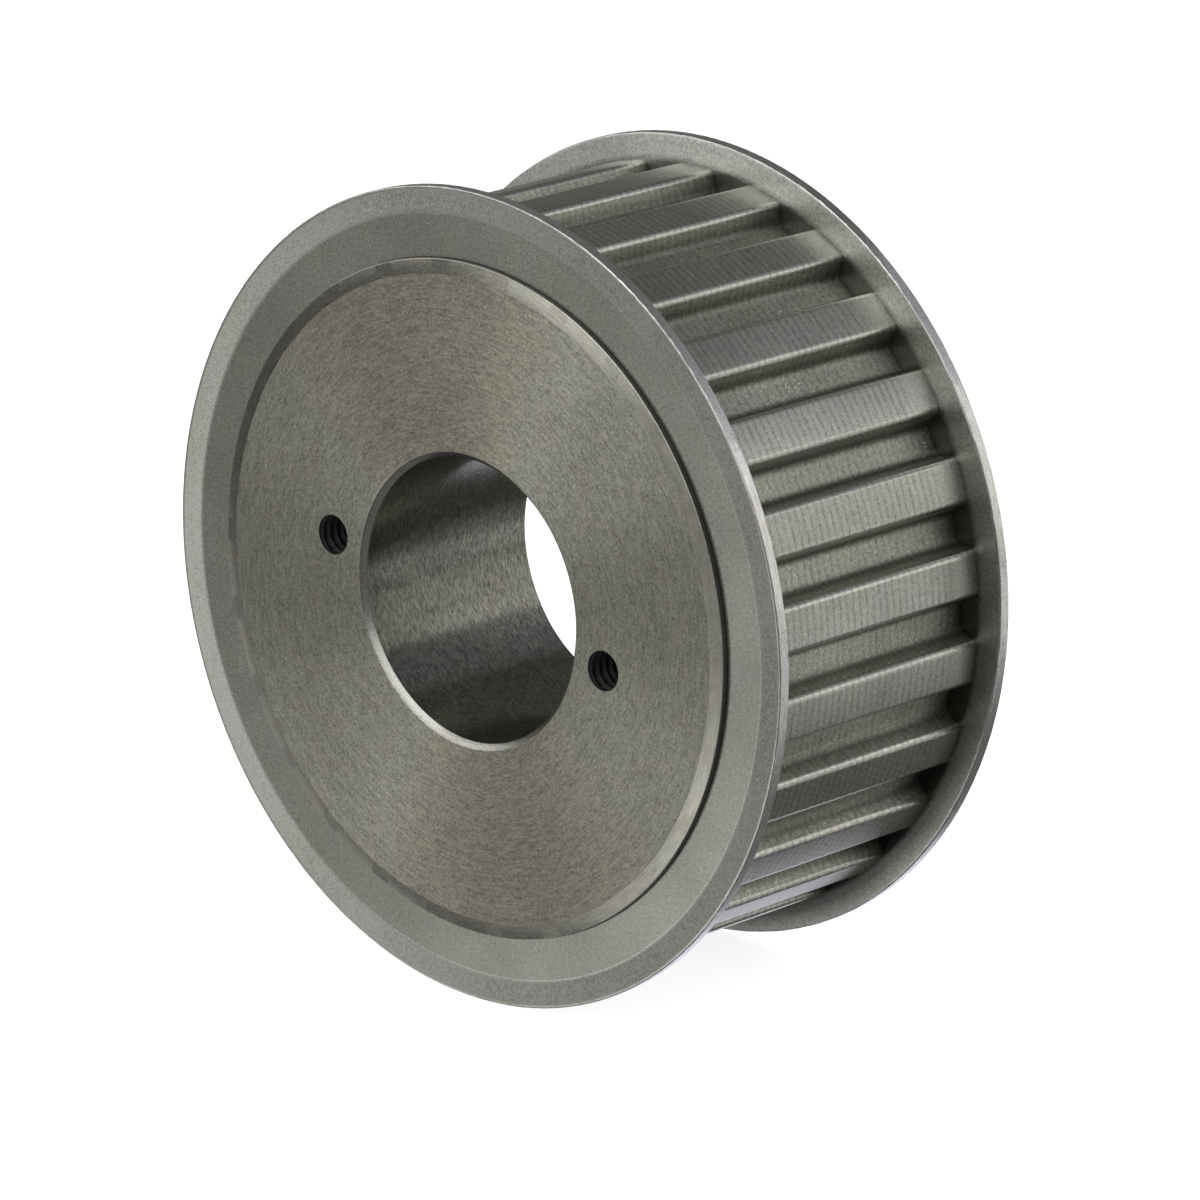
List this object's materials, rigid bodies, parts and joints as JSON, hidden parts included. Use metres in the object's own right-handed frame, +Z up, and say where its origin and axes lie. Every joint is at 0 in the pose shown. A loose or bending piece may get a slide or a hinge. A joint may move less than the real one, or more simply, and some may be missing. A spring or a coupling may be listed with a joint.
{
  "type": "timing belt pulley",
  "caption": "Toothed belt pulley with trapezoidal grooves, pressed-on side flanges, a central bore and tapped screw holes in its hub face.",
  "frame": {"origin": "on the bore axis, midway between the two end faces", "axes": "+Y along the bore axis towards the recessed rear side, with the face that has the tapped holes looking along -Y; +Z up"},
  "size_m": [0.1111, 0.046, 0.111],
  "materials": {
    "body_steel": "satin, finely turned on the faces, with milled grooves",
    "flange_steel": "satin rolled sheet"
  },
  "bodies": {
    "root": {"toothed_body": "body_steel", "front_flange": "flange_steel", "rear_flange": "flange_steel"}
  },
  "joints": []
}
